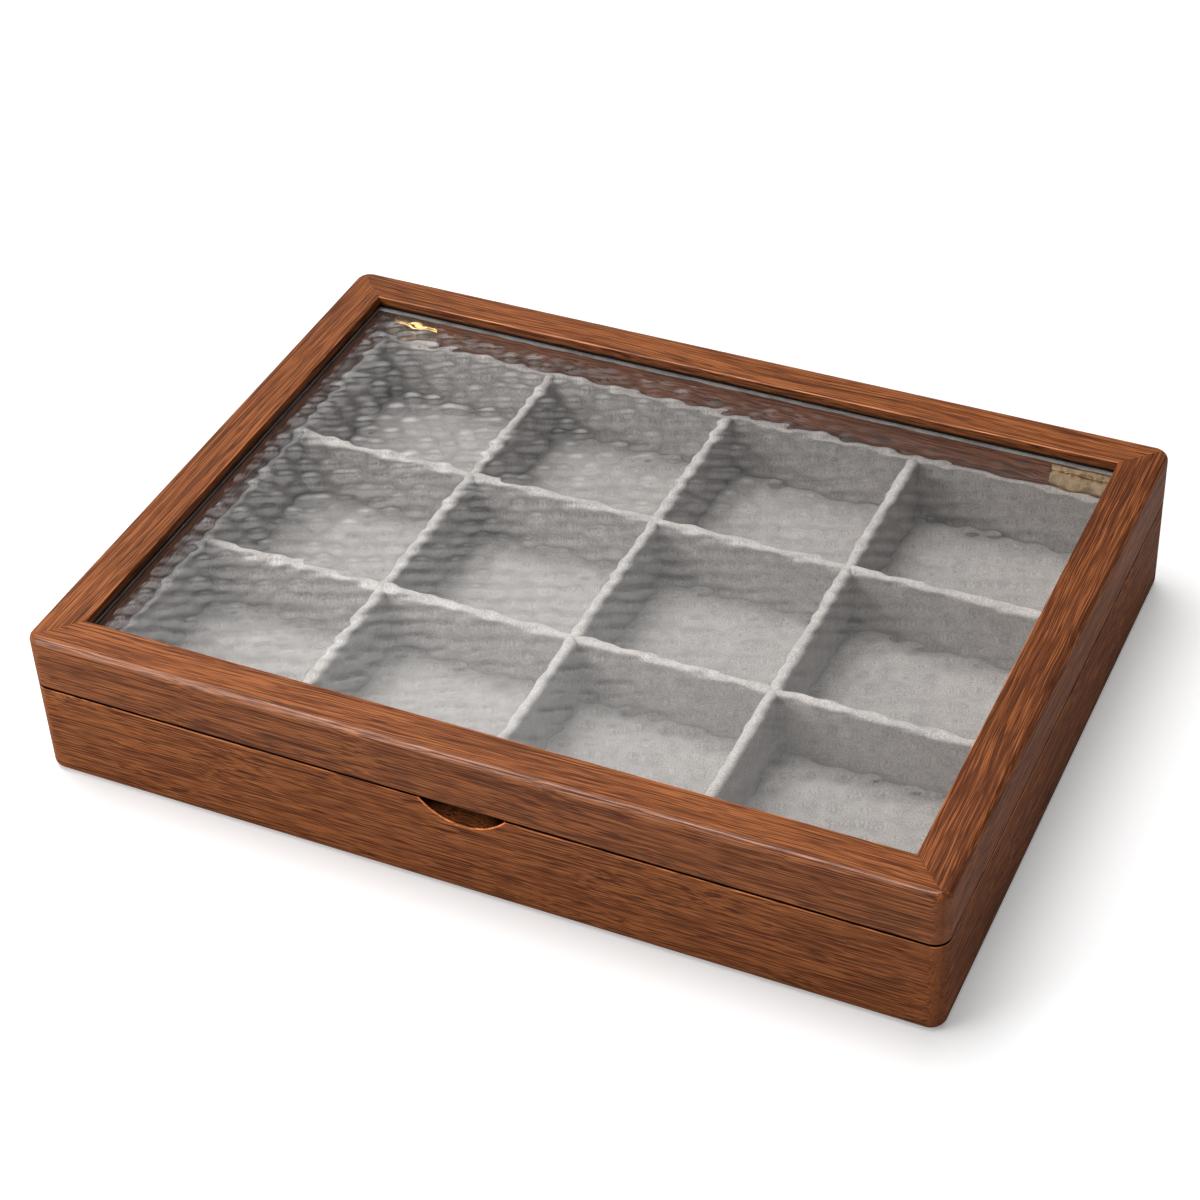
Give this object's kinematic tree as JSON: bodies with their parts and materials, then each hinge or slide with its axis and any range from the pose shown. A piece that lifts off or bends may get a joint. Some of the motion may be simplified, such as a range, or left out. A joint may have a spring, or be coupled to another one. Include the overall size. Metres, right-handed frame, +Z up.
{
  "type": "jewelry box",
  "caption": "Shallow wooden jewelry box with a hinged, glass-filled lid frame, a finger notch in the front rim and a velvet-lined tray divided into compartments.",
  "frame": {"origin": "centre of the footprint, hinge knuckles included, on the surface the box stands on", "axes": "+X to the right along the long side, +Y to the back where the hinges are, +Z up; the finger notch faces -Y"},
  "size_m": [0.35, 0.2652, 0.063],
  "materials": {
    "walnut_base": "oiled walnut, satin",
    "walnut_lid": "oiled walnut, satin",
    "panel_wood": "plain walnut-faced panel",
    "rippled_glass": "clear glass with a hammered ripple",
    "velvet": "light warm grey velvet",
    "tray_board": "grey hardboard, matt",
    "brass": "bright brass"
  },
  "bodies": {
    "base": {"base_front_wall": "walnut_base", "base_back_wall": "walnut_base", "base_left_wall": "walnut_base", "base_right_wall": "walnut_base", "base_panel": "panel_wood", "tray_board": "tray_board", "tray_pad": "velvet", "tray_front_wall": "velvet", "tray_back_wall": "velvet", "tray_left_wall": "velvet", "tray_right_wall": "velvet", "column_divider_1": "velvet", "column_divider_2": "velvet", "column_divider_3": "velvet", "row_divider_1": "velvet", "row_divider_2": "velvet", "left_hinge_base_leaf": "brass", "left_hinge_pin": "brass", "left_hinge_base_screw_1": "brass", "left_hinge_base_screw_2": "brass", "right_hinge_base_leaf": "brass", "right_hinge_pin": "brass", "right_hinge_base_screw_1": "brass", "right_hinge_base_screw_2": "brass"},
    "lid": {"lid_front_rail": "walnut_lid", "lid_back_rail": "walnut_lid", "lid_left_rail": "walnut_lid", "lid_right_rail": "walnut_lid", "glass_pane": "rippled_glass", "left_hinge_lid_leaf": "brass", "left_hinge_lid_screw_1": "brass", "left_hinge_lid_screw_2": "brass", "right_hinge_lid_leaf": "brass", "right_hinge_lid_screw_1": "brass", "right_hinge_lid_screw_2": "brass"}
  },
  "joints": [
    {"name": "lid_hinge", "type": "hinge", "parent": "base", "child": "lid", "pos_m": [0, 0.1302, 0.041], "axis": [-1, 0, 0], "range_deg": [0, 100]}
  ]
}
